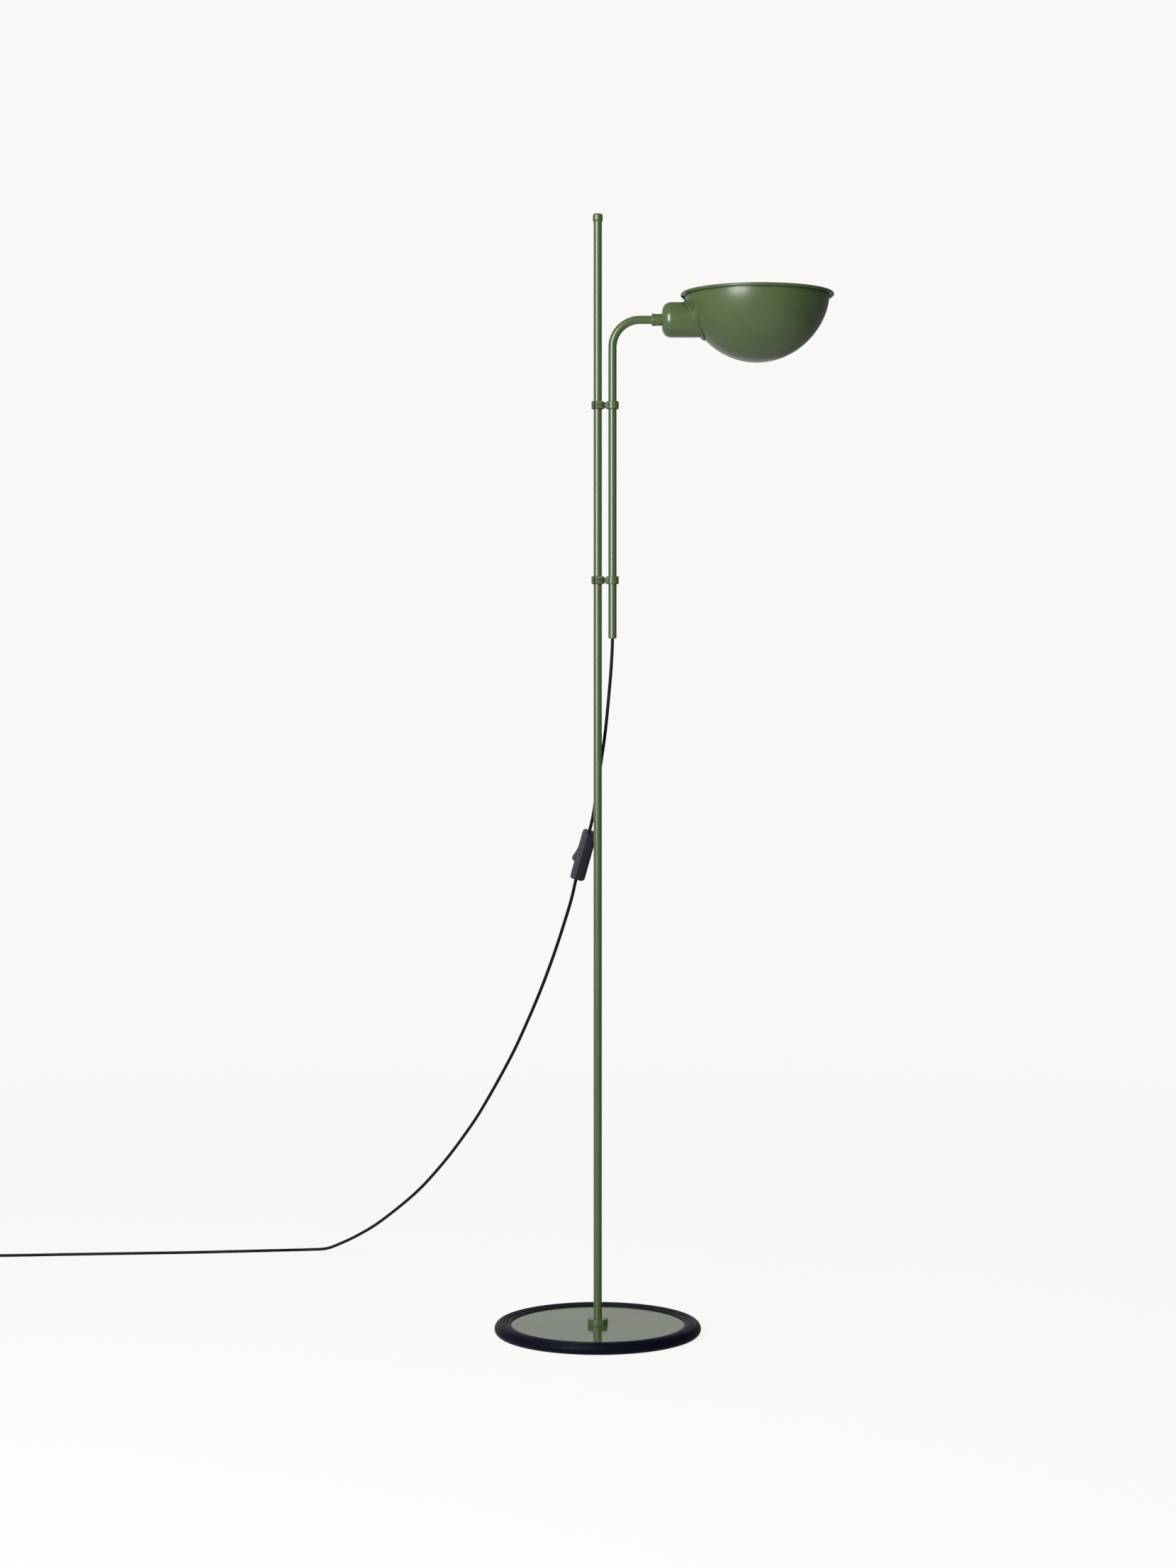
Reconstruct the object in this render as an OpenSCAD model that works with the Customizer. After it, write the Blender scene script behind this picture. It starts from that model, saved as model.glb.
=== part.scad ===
// Adjustable arm floor lamp: a round weighted base with a rubber ring, a thin pole, and a bent
// arm tube held beside the pole by two clips, which carries a turning spun shade.
// Millimetres, +Z up. The origin is on the floor under the pole. The arm points along +X.

/* [Stand] */
// Height of the whole lamp
lamp_h = 1350; // [1200:10:1500]
// Diameter of the pole and of the arm tube
tube_d = 10; // [8:0.5:12]
// Wall of the tubes
tube_wall = 1; // [0.8:0.1:1.5]
// Outer diameter of the rubber ring around the base
ring_d = 249; // [220:1:300]
// Height of the rubber ring
ring_h = 14; // [13:0.5:18]
// Top of the steel base disc above the floor
disc_top = 11; // [10.5:0.25:12]
// Diameter of the foot that holds the pole
foot_d = 24; // [22:1:30]

/* [Arm] */
// Distance from the pole's axis to the arm tube's axis
arm_x = 17.8; // [17.8:0.1:20]
// Height of the arm's level run
run_z = 1222; // [1180:1:1240]
// Centreline radius of the arm's bend
bend_r = 33; // [28:1:36]
// Lower end of the arm tube
arm_low = 839; // [820:1:850]
// Height of the upper clip
upper_clip_z = 1119; // [1090:1:1130]
// Height of the lower clip
lower_clip_z = 908; // [880:1:940]
// Height of one clip's strap
clip_h = 9.5; // [8:0.5:12]

/* [Shade] */
// Distance from the pole's axis to the middle of the bowl
bowl_x = 192.3; // [190:0.1:200]
// Radius of the bowl under its rim
bowl_r = 87; // [84:0.5:90]
// Depth of the bowl
bowl_depth = 81; // [78:1:86]
// Outer radius of the rolled rim
rim_r = 92.5; // [91:0.5:95]
// Radius of the housing around the lampholder
housing_r = 21.35; // [21:0.05:22]
// Diameter of the bulb's globe
globe_d = 45; // [40:1:45]

/* [Cord] */
// Diameter of the mains cord
cord_d = 4; // [3.5:0.5:5]
// Length of the switch on the cord
switch_l = 60; // [58:1:64]
// Radius of the coil's middle turn
coil_r = 24; // [22:0.5:26]

/* [Hidden] */
$fn = 96;
tube_r = tube_d / 2;
bore_r = tube_r - tube_wall;
run_fit = 0.05; // clearance around a turning or sliding round part
gap = 0.3; // clearance between separate bodies

// Base
ring_r = ring_d / 2;
seen_disc_r = 104.5;
disc_r = 108;
disc_low = 3;
pad_top = 1.6;
foot_top = disc_top + 7.2;
foot_r = foot_d / 2;
bolt_r = 3;
insert_h = 40;
cap_z = lamp_h - 10;

// Arm and its swivel
tube_end_x = 76;
collar_x = [65, 69, 80];
collar_r = 7.3;
stem_r = 4.8;
stem_end_x = 100;
wire_r = cord_d / 2;
sleeve_r = tube_r + 0.62;
clip_bore_r = sleeve_r + run_fit;
clip_r = 7.6;
screw_x = 1.5;
pad_front = 9.3;

// Shade
bowl_wall = 1.4;
rim_z = run_z + 30;
housing_back = 77.5;
housing_hole_r = 10.2;
housing_wall = 1.4;
housing_in_r = housing_r - housing_wall;
hub_x = [80.6, 90, 94];
holder_x = [103, 109, 138];
cap_x = [112.8, 138.2];
globe_r = globe_d / 2;
globe_x = 167;

// Switch on the cord: its middle, its two turns about X and Y, and its own sizes
switch_at = [-17, 47, 574.5];
switch_turn = [9, 15.5, 0];
switch_t = 18;
switch_w = 26;
switch_seam = -2.1;
rocker_at = [-6, 0, 1];
switch_screw_z = [-22, 22];

// Cord: the middle of each stretch, from the arm tube to the switch, and from there to the coil
UPPER_ROUTE = [
    [17.8, 0, 850], [17.8, 0, 838], [17.3, 0.3, 822], [15.9, 2.2, 798], [13.7, 5.6, 772],
    [9.3, 11.8, 726], [4.6, 20, 692], [-0.3, 29, 658], [-5.2, 36.5, 625], [-9.3, 41.8, 606.2],
    [-11.4, 43.1, 598.6]
];
LOWER_ROUTE = [
    [-24.6, 50.9, 551], [-26.7, 52.2, 543.4], [-31.5, 58.5, 522], [-38.9, 74, 496],
    [-52.9, 95, 452], [-69.4, 118, 406], [-88.6, 143, 359], [-110.3, 172, 311], [-146.8, 222, 242],
    [-172.2, 256, 201], [-202.4, 296, 158], [-240.2, 347, 112], [-290.9, 414, 63],
    [-326.5, 461, 35], [-357.5, 500, 15], [-375, 524, 5.5], [-395.5, 535, 2.2], [-438, 530, 2],
    [-489, 523, 2], [-560, 514, 2], [-640, 507, 2], [-720, 500, 2], [-790, 493, 2],
    [-835, 488, 2.4], [-865, 486, 3]
];
ROUTE_SIDE = [0.805, 0.592, 0]; // level and square to the hanging stretch, so it never lies along it
coil_at = [-865, 458];
coil_z = 1; // the tie's strap is under the coil
coil_slack = 0.3; // the turns lie this loosely
coil_in = coil_r - 1.5 * cord_d - coil_slack;
coil_out = coil_r + 1.5 * cord_d + coil_slack;
coil_h = 2 * cord_d + coil_slack;
lead_x = coil_at[0] - coil_r - cord_d;
lead_z = coil_z + 1.5 * cord_d;
plug_y = [430, 404, 372, 353];
plug_pin_gap = 18.6;

// ---- helpers ----

// A tube standing on z, with its bore right through
module tube(outer, inner, z0, z1) {
    translate([0, 0, z0]) difference() {
        cylinder(r = outer, h = z1 - z0);
        translate([0, 0, -1]) cylinder(r = inner, h = z1 - z0 + 2);
    }
}

// Turned piece about the level run's axis: its points are [radius, x]
module turned_on_run(points) {
    translate([0, 0, run_z]) rotate([0, 90, 0]) rotate_extrude() polygon(points);
}

module tube_on_run(outer, inner, x0, x1) {
    turned_on_run([[inner, x0], [outer, x0], [outer, x1], [inner, x1]]);
}

// Solid rod along the arm tube's centreline, from the level z0 to the place x1 on the level run
module along_arm(r, z0, x1) {
    translate([arm_x, 0, z0]) cylinder(r = r, h = run_z - bend_r - z0);
    translate([arm_x + bend_r, 0, run_z - bend_r])
        rotate([90, 0, 0]) rotate([0, 0, 90]) rotate_extrude(angle = 90)
            translate([bend_r, 0]) circle(r = r);
    translate([arm_x + bend_r, 0, run_z]) rotate([0, 90, 0]) cylinder(r = r, h = x1 - arm_x - bend_r);
}

function arc(middle, r, from, to, n) =
    [for (i = [0:n]) middle + r * [cos(from + (to - from) * i / n), sin(from + (to - from) * i / n)]];

// A corner between two edges at right angles: an arc, or one point where its radius is zero
function corner(x, y, r, sx, sy, from) =
    r == 0 ? [[x, y]] : arc([x - sx * r, y - sy * r], r, from, from - 90, 6);

// Radius of the bowl's outside at a depth below the rim, for a bowl of that radius and depth
function bowl_at(depth, r, deep) = r * sqrt(max(0, 1 - pow(depth / deep, 1.8)));

// The bowl's outline as [radius, z], from the rim down to the middle, grown by an amount
function bowl_line(grow) = [
    for (i = [0:24]) let (depth = bowl_depth * sin(90 * i / 24))
        [bowl_at(depth, bowl_r, bowl_depth) + (i == 24 ? 0 : grow * cos(60 * i / 24)),
         rim_z - depth - grow * sin(90 * i / 24)]
];

module bowl_solid(grow, top) {
    translate([bowl_x, 0, 0]) rotate_extrude()
        polygon(concat([[0, top], [bowl_r + grow, top]], bowl_line(grow)));
}

module in_switch() {
    translate(switch_at) rotate(switch_turn) children();
}

// A prism across the switch: its outline is [x, z], and its width is centred
module across_switch(width, points) {
    rotate([90, 0, 0]) translate([0, 0, -width / 2]) linear_extrude(height = width) polygon(points);
}

// One smooth curve through a route's points, with steps rings for each stretch
function mix(a, b, c, d, t) = 0.5 * (
    2 * b + (c - a) * t + (2 * a - 5 * b + 4 * c - d) * t * t + (3 * b - a - 3 * c + d) * t * t * t);
function smooth(route, steps) = let (last = len(route) - 1) concat(
    [for (i = [0:last - 1]) for (k = [0:steps - 1])
        mix(route[max(0, i - 1)], route[i], route[i + 1], route[min(last, i + 2)], k / steps)],
    [route[last]]);
function unit(v) = v / norm(v);
function ring(line, i, r, sides) =
    let (last = len(line) - 1,
         ahead = unit(line[min(last, i + 1)] - line[max(0, i - 1)]),
         side = unit(ROUTE_SIDE - (ROUTE_SIDE * ahead) * ahead),
         up = cross(ahead, side))
    [for (k = [0:sides - 1]) line[i] + r * (cos(360 * k / sides) * side + sin(360 * k / sides) * up)];

module cord_along(line, sides) {
    last = len(line) - 1;
    polyhedron(
        points = [for (i = [0:last]) each ring(line, i, cord_d / 2, sides)],
        faces = concat(
            [[for (k = [0:sides - 1]) k]],
            [for (i = [0:last - 1]) for (k = [0:sides - 1])
                [i * sides + k, (i + 1) * sides + k,
                 (i + 1) * sides + (k + 1) % sides, i * sides + (k + 1) % sides]],
            [[for (k = [sides - 1:-1:0]) last * sides + k]]));
}

// ---- base ----

module base_disc() {
    color([0.36, 0.47, 0.32]) difference() {
        translate([0, 0, disc_low]) cylinder(r = disc_r, h = disc_top - disc_low);
        translate([0, 0, disc_low - 1]) cylinder(r = bolt_r + 0.25, h = 20);
        translate([0, 0, disc_low - 1]) cylinder(r = 11, h = 4.6); // pocket for the bolt's head
    }
}

module base_ring() {
    middle = ring_r - 7.5;
    color([0.08, 0.08, 0.14]) rotate_extrude() polygon(concat(
        [[disc_r, disc_top], [seen_disc_r, disc_top], [seen_disc_r, disc_top + 0.7],
         [seen_disc_r + 0.7, disc_top + 1.1], [109.5, ring_h - 1.2], [110, ring_h - 0.6],
         [112.6, ring_h - 0.4], [113, ring_h]],
        arc([middle, ring_h - 7.5], 7.5, 90, 0, 8),
        arc([middle + 1, 6.5], 6.5, 0, -75, 6),
        [[116, 0], [100, 0], [100, disc_low], [disc_r, disc_low]]));
}

module base_pad() {
    color([0.1, 0.1, 0.1]) difference() {
        cylinder(r = 99, h = disc_low);
        translate([0, 0, pad_top]) cylinder(r = 7, h = disc_low);
    }
}

module pole_foot() {
    color([0.3, 0.42, 0.26]) difference() {
        rotate_extrude() polygon([
            [tube_r + 0.02, disc_top], [foot_r, disc_top], [foot_r, foot_top - 0.6],
            [foot_r - 0.6, foot_top], [tube_r + 0.02, foot_top]]);
        translate([-3.6, -7.8, foot_top - 4]) cylinder(r = 1.3, h = 6);
    }
}

module foot_screw() {
    color([0.55, 0.55, 0.55]) difference() {
        translate([-3.6, -7.8, foot_top - 3.9]) cylinder(r = 1.25, h = 3.2);
        translate([-3.6, -7.8, foot_top - 1.6]) cylinder(r = 0.7, h = 2, $fn = 6);
    }
}

module pole_bolt() {
    color([0.7, 0.7, 0.72]) difference() {
        union() {
            translate([0, 0, 2]) cylinder(r = 5.4, h = 3.2);
            translate([0, 0, 5]) cylinder(r = bolt_r, h = 32);
        }
        translate([0, 0, 1]) cylinder(r = 2.6, h = 3, $fn = 6);
    }
}

module pole_washer() {
    color([0.7, 0.7, 0.72]) tube(9, bolt_r + 0.2, 5.25, 6.55);
}

module pole_insert() {
    color([0.7, 0.6, 0.35]) tube(bore_r - 0.02, bolt_r + 0.03, disc_top + 0.2, disc_top + insert_h);
}

module pole_tube() {
    color([0.3, 0.43, 0.26]) tube(tube_r, bore_r, disc_top + 0.1, cap_z + 4);
}

module pole_cap() {
    color([0.3, 0.43, 0.26]) rotate_extrude() polygon(concat(
        [[0, lamp_h], [3.2, lamp_h - 0.3]],
        arc([3.8, lamp_h - 2.6], 2.2, 90, 0, 5),
        [[6, cap_z + 2.4], [5.8, cap_z + 1], [5.3, cap_z], [tube_r + 0.02, cap_z],
         [tube_r + 0.02, cap_z + 4.1], [0, cap_z + 4.1]]));
}

// ---- clips ----

module pole_sleeves() {
    color([0.12, 0.14, 0.13]) for (z = [upper_clip_z, lower_clip_z])
        tube(sleeve_r, tube_r + 0.04, z - clip_h / 2 + 0.3, z + clip_h / 2 - 0.3);
}

module clip_ring() {
    edge = 1.5;
    half = clip_h / 2;
    rotate_extrude() polygon(concat(
        [[clip_bore_r, -half]],
        arc([clip_r - edge, -half + edge], edge, -90, 0, 5),
        arc([clip_r - edge, half - edge], edge, 0, 90, 5),
        [[clip_bore_r, half]]));
}

module clip_at(z) {
    half = clip_h / 2;
    dip = 14; // radius of the hollow in the web's upper and lower edges
    mid = arm_x / 2;
    color([0.3, 0.43, 0.26]) translate([0, 0, z]) difference() {
        union() {
            clip_ring();
            translate([arm_x, 0, 0]) clip_ring();
            rotate([90, 0, 0]) translate([0, 0, -4.2]) linear_extrude(height = 8.4) polygon(concat(
                arc([mid, half + dip - 1.3], dip, 246, 294, 8),
                arc([mid, -half - dip + 1.3], dip, 66, 114, 8)));
            translate([-2.8, -pad_front, -half + 0.4]) cube([8.4, pad_front - 4, clip_h - 0.8]);
        }
        for (x = [0, arm_x]) translate([x, 0, -half - 1]) cylinder(r = clip_bore_r, h = clip_h + 2);
        translate([-4.6, -12, -half - 1]) cube([1.5, 12, clip_h + 2]); // slit that lets the strap close
        translate([screw_x, -4, 0]) rotate([90, 0, 0]) cylinder(r = 1.6, h = 8);
    }
}

module clip_screws() {
    color([0.3, 0.43, 0.26]) for (z = [upper_clip_z, lower_clip_z]) translate([screw_x, 0, z])
        difference() {
            rotate([90, 0, 0]) {
                translate([0, 0, sleeve_r + 0.15]) cylinder(r = 1.55, h = pad_front - sleeve_r);
                translate([0, 0, pad_front + 0.02]) cylinder(r = 3, h = 1.7);
            }
            translate([-4, -pad_front - 2, -0.55]) cube([8, 1.1, 1.1]);
        }
}

module arm_sleeves() {
    color([0.12, 0.14, 0.13]) for (z = [upper_clip_z, lower_clip_z]) translate([arm_x, 0, 0])
        tube(sleeve_r, tube_r + 0.01, z - clip_h / 2 + 0.3, z + clip_h / 2 - 0.3);
}

// ---- arm ----

module arm_tube() {
    color([0.3, 0.43, 0.26]) difference() {
        along_arm(tube_r, arm_low, tube_end_x);
        translate([arm_x, 0, arm_low - 1]) cylinder(r = bore_r, h = 3);
        along_arm(bore_r, arm_low, tube_end_x);
        translate([tube_end_x - 1, 0, run_z]) rotate([0, 90, 0]) cylinder(r = bore_r, h = 3);
    }
}

module tube_bush() {
    color([0.05, 0.05, 0.05]) translate([arm_x, 0, 0]) union() {
        tube(tube_r - 0.3, wire_r + 0.15, arm_low - 1.2, arm_low);
        tube(bore_r - 0.02, wire_r + 0.15, arm_low - 0.5, arm_low + 9);
    }
}

module inner_cable() {
    color([0.05, 0.05, 0.05]) along_arm(wire_r, 850.2, stem_end_x - 0.2);
}

module arm_collar() {
    rim = collar_r + 0.25;
    color([0.3, 0.43, 0.26]) turned_on_run([
        [tube_r + 0.02, collar_x[0]], [rim - 1, collar_x[0]], [rim, collar_x[0] + 1],
        [rim, collar_x[1] - 0.6], [collar_r - 0.2, collar_x[1] - 0.3], [collar_r - 0.2, collar_x[1]],
        [collar_r, collar_x[1] + 0.2], [collar_r, collar_x[2]], [stem_r + 0.02, collar_x[2]],
        [stem_r + 0.02, tube_end_x + 0.05], [tube_r + 0.02, tube_end_x + 0.05]]);
}

module swivel_stem() {
    bore = wire_r + 0.3;
    color([0.72, 0.6, 0.3]) turned_on_run([
        [bore, 60], [bore_r - 0.02, 60], [bore_r - 0.02, tube_end_x + 0.1],
        [stem_r, tube_end_x + 0.1], [stem_r, stem_end_x], [bore, stem_end_x]]);
}

module swivel_washer() {
    color([0.85, 0.85, 0.8]) tube_on_run(7.6, stem_r + 0.02, collar_x[2] + 0.02, hub_x[0] - 0.1);
}

module swivel_nut() {
    color([0.72, 0.6, 0.3]) translate([hub_x[2] + gap, 0, run_z]) rotate([0, 90, 0]) difference() {
        cylinder(r = 7.5, h = 4.6, $fn = 6);
        translate([0, 0, -1]) cylinder(r = stem_r + 0.02, h = 8);
    }
}

// ---- shade ----

module housing_line(r, back, hole) {
    bend = r - hole;
    turned_on_run(concat(
        [[0, back]], [[hole, back]],
        [for (i = [1:10]) [hole + bend * sin(9 * i), back + bend * (1 - cos(9 * i))]],
        [[r, 150], [0, 150]]));
}

module socket_housing() {
    color([0.3, 0.43, 0.26]) difference() {
        housing_line(housing_r, housing_back, housing_hole_r);
        housing_line(housing_in_r, housing_back + housing_wall, housing_hole_r);
        translate([housing_back - 1, 0, run_z]) rotate([0, 90, 0])
            cylinder(r = housing_hole_r, h = 10);
        bowl_solid(0.05, rim_z + 20);
    }
}

module seam_flange() {
    color([0.3, 0.43, 0.26]) intersection() {
        difference() {
            bowl_solid(2.2, rim_z - 0.5);
            bowl_solid(0.1, rim_z + 1);
        }
        tube_on_run(housing_r + 2.5, housing_r + 0.05, 90, 160);
    }
}

module shade_bowl() {
    inner = bowl_line(-bowl_wall);
    color([0.3, 0.43, 0.26]) difference() {
        translate([bowl_x, 0, 0]) rotate_extrude() polygon(concat(
            [for (i = [24:-1:0]) inner[i]],
            [[bowl_r - bowl_wall, rim_z + 1.2], [bowl_r + 1, rim_z + 2.2]],
            arc([rim_r - 1.9, rim_z + 0.2], 1.9, 90, -90, 8),
            [[rim_r - 3, rim_z - 1.3], [rim_r - 3, rim_z + 0.2], [bowl_r + 1.2, rim_z + 0.2],
             [bowl_r, rim_z - 0.6]],
            [for (i = [1:24]) bowl_line(0)[i]]));
        translate([90, 0, run_z]) rotate([0, 90, 0]) cylinder(r = housing_in_r, h = 60);
    }
}

module housing_hub() {
    color([0.7, 0.7, 0.72]) difference() {
        turned_on_run([
            [stem_r + run_fit, hub_x[0]], [8, hub_x[0]], [8, hub_x[1]],
            [housing_in_r - 0.05, hub_x[1]], [housing_in_r - 0.05, hub_x[2]],
            [stem_r + run_fit, hub_x[2]]]);
        for (y = [-11, 11]) translate([hub_x[1] - 1, y, run_z]) rotate([0, 90, 0])
            cylinder(r = 1.5, h = 6);
    }
}

module holder_screws() {
    color([0.7, 0.7, 0.72]) for (y = [-11, 11]) translate([0, y, run_z]) rotate([0, 90, 0]) {
        translate([0, 0, hub_x[1] - 1.9]) cylinder(r = 2.6, h = 1.8);
        translate([0, 0, hub_x[1] - 0.2]) cylinder(r = 1.4, h = 17.2);
    }
}

module holder_base() {
    color([0.92, 0.92, 0.9]) difference() {
        tube_on_run(14, 1.2, holder_x[0], holder_x[1]);
        for (y = [-11, 11]) translate([holder_x[0] - 1, y, run_z]) rotate([0, 90, 0])
            cylinder(r = 1.5, h = 5.6);
    }
}

module holder_shell() {
    color([0.92, 0.92, 0.9]) tube_on_run(14, 12.4, holder_x[1] + 0.02, holder_x[2]);
}

module holder_thread() {
    color([0.8, 0.65, 0.3]) tube_on_run(8.2, 7.2, holder_x[1] + 0.02, holder_x[2] - 2);
}

module holder_contact() {
    color([0.8, 0.65, 0.3]) tube_on_run(2.6, 0.6, holder_x[1] + 0.02, cap_x[0] - 1.1);
}

module lead_wires() {
    color([0.2, 0.3, 0.6]) for (y = [-1.6, 1.6])
        translate([stem_end_x + gap, y, run_z]) rotate([0, 90, 0]) cylinder(r = 0.9, h = 2.6);
}

module bulb_cap() {
    color([0.75, 0.75, 0.77]) turned_on_run([
        [0, cap_x[0] - 1], [2.6, cap_x[0] - 1], [2.6, cap_x[0]], [6.2, cap_x[0] + 2],
        [6.9, cap_x[0] + 4], [6.9, cap_x[1]], [0, cap_x[1]]]);
}

module bulb_globe() {
    neck_r = 6.8;
    wall = 0.9;
    from = 180 - asin(10.2 / globe_r);
    in_from = 180 - asin(9.3 / (globe_r - wall));
    color([0.95, 0.95, 0.92]) turned_on_run(concat(
        [[neck_r, cap_x[1] + 0.02]],
        [for (i = [0:18]) let (a = from * (1 - i / 18)) [globe_r * sin(a), globe_x + globe_r * cos(a)]],
        [for (i = [18:-1:0]) let (a = in_from * (1 - i / 18))
            [(globe_r - wall) * sin(a), globe_x + (globe_r - wall) * cos(a)]],
        [[neck_r - wall, cap_x[1] + 0.02]]));
}

// ---- switch on the cord ----

// A block across the switch from x0 to x1, with ends rounded by r0 and r1, and less taken off all round
module switch_shape(x0, x1, r0, r1, less) {
    half = switch_l / 2 - less;
    across_switch(switch_w - 2 * less, concat(
        corner(x0, half, r0, -1, 1, 180), corner(x1, half, r1, 1, 1, 90),
        corner(x1, -half, r1, 1, -1, 0), corner(x0, -half, r0, -1, -1, -90)));
}

module cord_holes() {
    translate([-1, 0, -switch_l / 2 - 1]) cylinder(r = cord_d / 2 + 0.7, h = switch_l + 2);
}

module switch_front() {
    wall = 1.8;
    color([0.16, 0.15, 0.19]) in_switch() difference() {
        switch_shape(-switch_t / 2, switch_seam, 5, 0, 0);
        difference() {
            switch_shape(-switch_t / 2 + wall, switch_seam + 1, 3.5, 0, wall);
            // lugs beside the window that hold the rocker's trunnions
            for (s = [-1, 1]) translate([-9, s * 7.4 - 1.1, rocker_at[2] - 3]) cube([5.5, 2.2, 6]);
            for (z = switch_screw_z) translate([-10, 0, z]) rotate([0, 90, 0]) cylinder(r = 3, h = 12);
        }
        translate([-switch_t / 2 - 1, -6, rocker_at[2] - 12.5]) cube([8, 12, 25]);
        translate([rocker_at[0], 9, rocker_at[2]]) rotate([90, 0, 0]) cylinder(r = 1.45, h = 18);
        for (z = switch_screw_z) translate([-6, 0, z]) rotate([0, 90, 0]) cylinder(r = 1.3, h = 8);
        cord_holes();
    }
}

module switch_back() {
    wall = 1.8;
    color([0.11, 0.11, 0.14]) in_switch() difference() {
        switch_shape(switch_seam + 0.15, switch_t / 2, 0, 2.4, 0);
        difference() {
            switch_shape(switch_seam - 1, switch_t / 2 - wall, 0, 1, wall);
            for (z = switch_screw_z) translate([-3, 0, z]) rotate([0, 90, 0]) cylinder(r = 4.4, h = 14);
        }
        for (z = switch_screw_z) translate([-3, 0, z]) rotate([0, 90, 0]) {
            cylinder(r = 1.7, h = 20);
            translate([0, 0, 9.5]) cylinder(r = 3, h = 10);
        }
        cord_holes();
    }
}

module switch_screws() {
    color([0.7, 0.7, 0.72]) in_switch() for (z = switch_screw_z) difference() {
        translate([-5, 0, z]) rotate([0, 90, 0]) {
            cylinder(r = 1.2, h = 12);
            translate([0, 0, 11.6]) cylinder(r = 2.7, h = 1.7);
        }
        translate([7.6, -0.4, z - 3]) cube([2, 0.8, 6]);
    }
}

module switch_contacts() {
    color([0.8, 0.65, 0.3]) in_switch() for (y = [-4, 4])
        translate([4.6, y - 2, -14]) cube([1, 4, 28]);
}

module switch_rocker() {
    color([0.16, 0.15, 0.19]) in_switch() union() {
        across_switch(11.6, concat(
            [for (i = [0:8]) [-8.9 - 4 * pow(i / 8, 1.6), 12 - 18 * i / 8]],
            [[-12.4, -7], [-9.4, -9.6], [-7.6, -10.2], [-4.4, -7], [-4.4, 9], [-7.4, 12]]));
        translate([rocker_at[0], 8.2, rocker_at[2]]) rotate([90, 0, 0]) cylinder(r = 1.4, h = 16.4);
    }
}

// ---- cord ----

module cord_upper() {
    color([0.04, 0.04, 0.04]) cord_along(smooth(UPPER_ROUTE, 2), 10);
}

module cord_lower() {
    color([0.04, 0.04, 0.04]) cord_along(smooth(LOWER_ROUTE, 2), 10);
}

module cord_coil() {
    color([0.04, 0.04, 0.04]) union() {
        translate([coil_at[0], coil_at[1], coil_z]) tube(coil_out, coil_in, 0, coil_h);
        translate([lead_x, coil_at[1], lead_z]) rotate([90, 0, 0])
            cylinder(r = cord_d / 2, h = coil_at[1] - plug_y[0]);
    }
}

module coil_tie() {
    strap = 0.8;
    color([0.12, 0.12, 0.12]) translate([coil_at[0], coil_at[1], 0]) rotate([0, 0, -60])
        difference() {
            translate([coil_in - strap - 0.6, -4, 0])
                cube([coil_out - coil_in + 2 * strap + 1.2, 8, coil_h + coil_z + strap + 0.2]);
            translate([coil_in - 0.6, -5, coil_z - 0.2])
                cube([coil_out - coil_in + 1.2, 10, coil_h + 0.4]);
        }
}

module plug_tail() {
    color([0.04, 0.04, 0.04]) translate([lead_x, plug_y[0], lead_z]) rotate([90, 0, 0])
        cylinder(r1 = cord_d / 2 + 0.9, r2 = 5.5, h = plug_y[0] - plug_y[1]);
}

module plug_body() {
    r = 4;
    low = -lead_z;
    high = 7.5;
    color([0.04, 0.04, 0.04]) translate([lead_x, plug_y[1], lead_z]) rotate([90, 0, 0])
        translate([0, (high + low) / 2, 0]) linear_extrude(height = plug_y[1] - plug_y[2])
            polygon(concat(
                arc([17 - r, (high - low) / 2 - r], r, 90, 0, 5),
                arc([17 - r, -(high - low) / 2 + r], r, 0, -90, 5),
                arc([-17 + r, -(high - low) / 2 + r], r, -90, -180, 5),
                arc([-17 + r, (high - low) / 2 - r], r, 180, 90, 5)));
}

module plug_pins() {
    color([0.75, 0.72, 0.6]) for (s = [-1, 1])
        translate([lead_x + s * plug_pin_gap / 2, plug_y[2], lead_z]) rotate([90, 0, 0])
            cylinder(r = 2, h = plug_y[2] - plug_y[3]);
}

base_disc();
base_ring();
base_pad();
pole_foot();
foot_screw();
pole_bolt();
pole_washer();
pole_insert();
pole_tube();
pole_cap();
pole_sleeves();
clip_at(upper_clip_z);  // upper_clip
clip_at(lower_clip_z);  // lower_clip
clip_screws();
arm_sleeves();
arm_tube();
tube_bush();
inner_cable();
arm_collar();
swivel_stem();
swivel_washer();
swivel_nut();
socket_housing();
seam_flange();
shade_bowl();
housing_hub();
holder_screws();
holder_base();
holder_shell();
holder_thread();
holder_contact();
lead_wires();
bulb_cap();
bulb_globe();
switch_front();
switch_back();
switch_screws();
switch_contacts();
switch_rocker();
cord_upper();
cord_lower();
cord_coil();
coil_tie();
plug_tail();
plug_body();
plug_pins();
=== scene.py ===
"""Adjustable arm floor lamp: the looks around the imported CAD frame, in metres, +Z up."""

import math

import bmesh
import bpy
import numpy as np
from mathutils import Matrix, Vector


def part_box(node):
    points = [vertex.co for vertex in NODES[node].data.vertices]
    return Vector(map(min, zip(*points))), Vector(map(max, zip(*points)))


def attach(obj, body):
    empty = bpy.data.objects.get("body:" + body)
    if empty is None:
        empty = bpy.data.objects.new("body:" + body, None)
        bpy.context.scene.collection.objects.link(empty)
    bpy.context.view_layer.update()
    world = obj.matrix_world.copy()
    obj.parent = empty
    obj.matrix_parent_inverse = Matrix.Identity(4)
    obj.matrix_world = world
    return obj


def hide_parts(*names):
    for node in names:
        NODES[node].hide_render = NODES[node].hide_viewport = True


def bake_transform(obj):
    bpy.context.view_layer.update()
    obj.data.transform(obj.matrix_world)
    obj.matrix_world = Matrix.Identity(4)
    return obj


MM = 0.001

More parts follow.
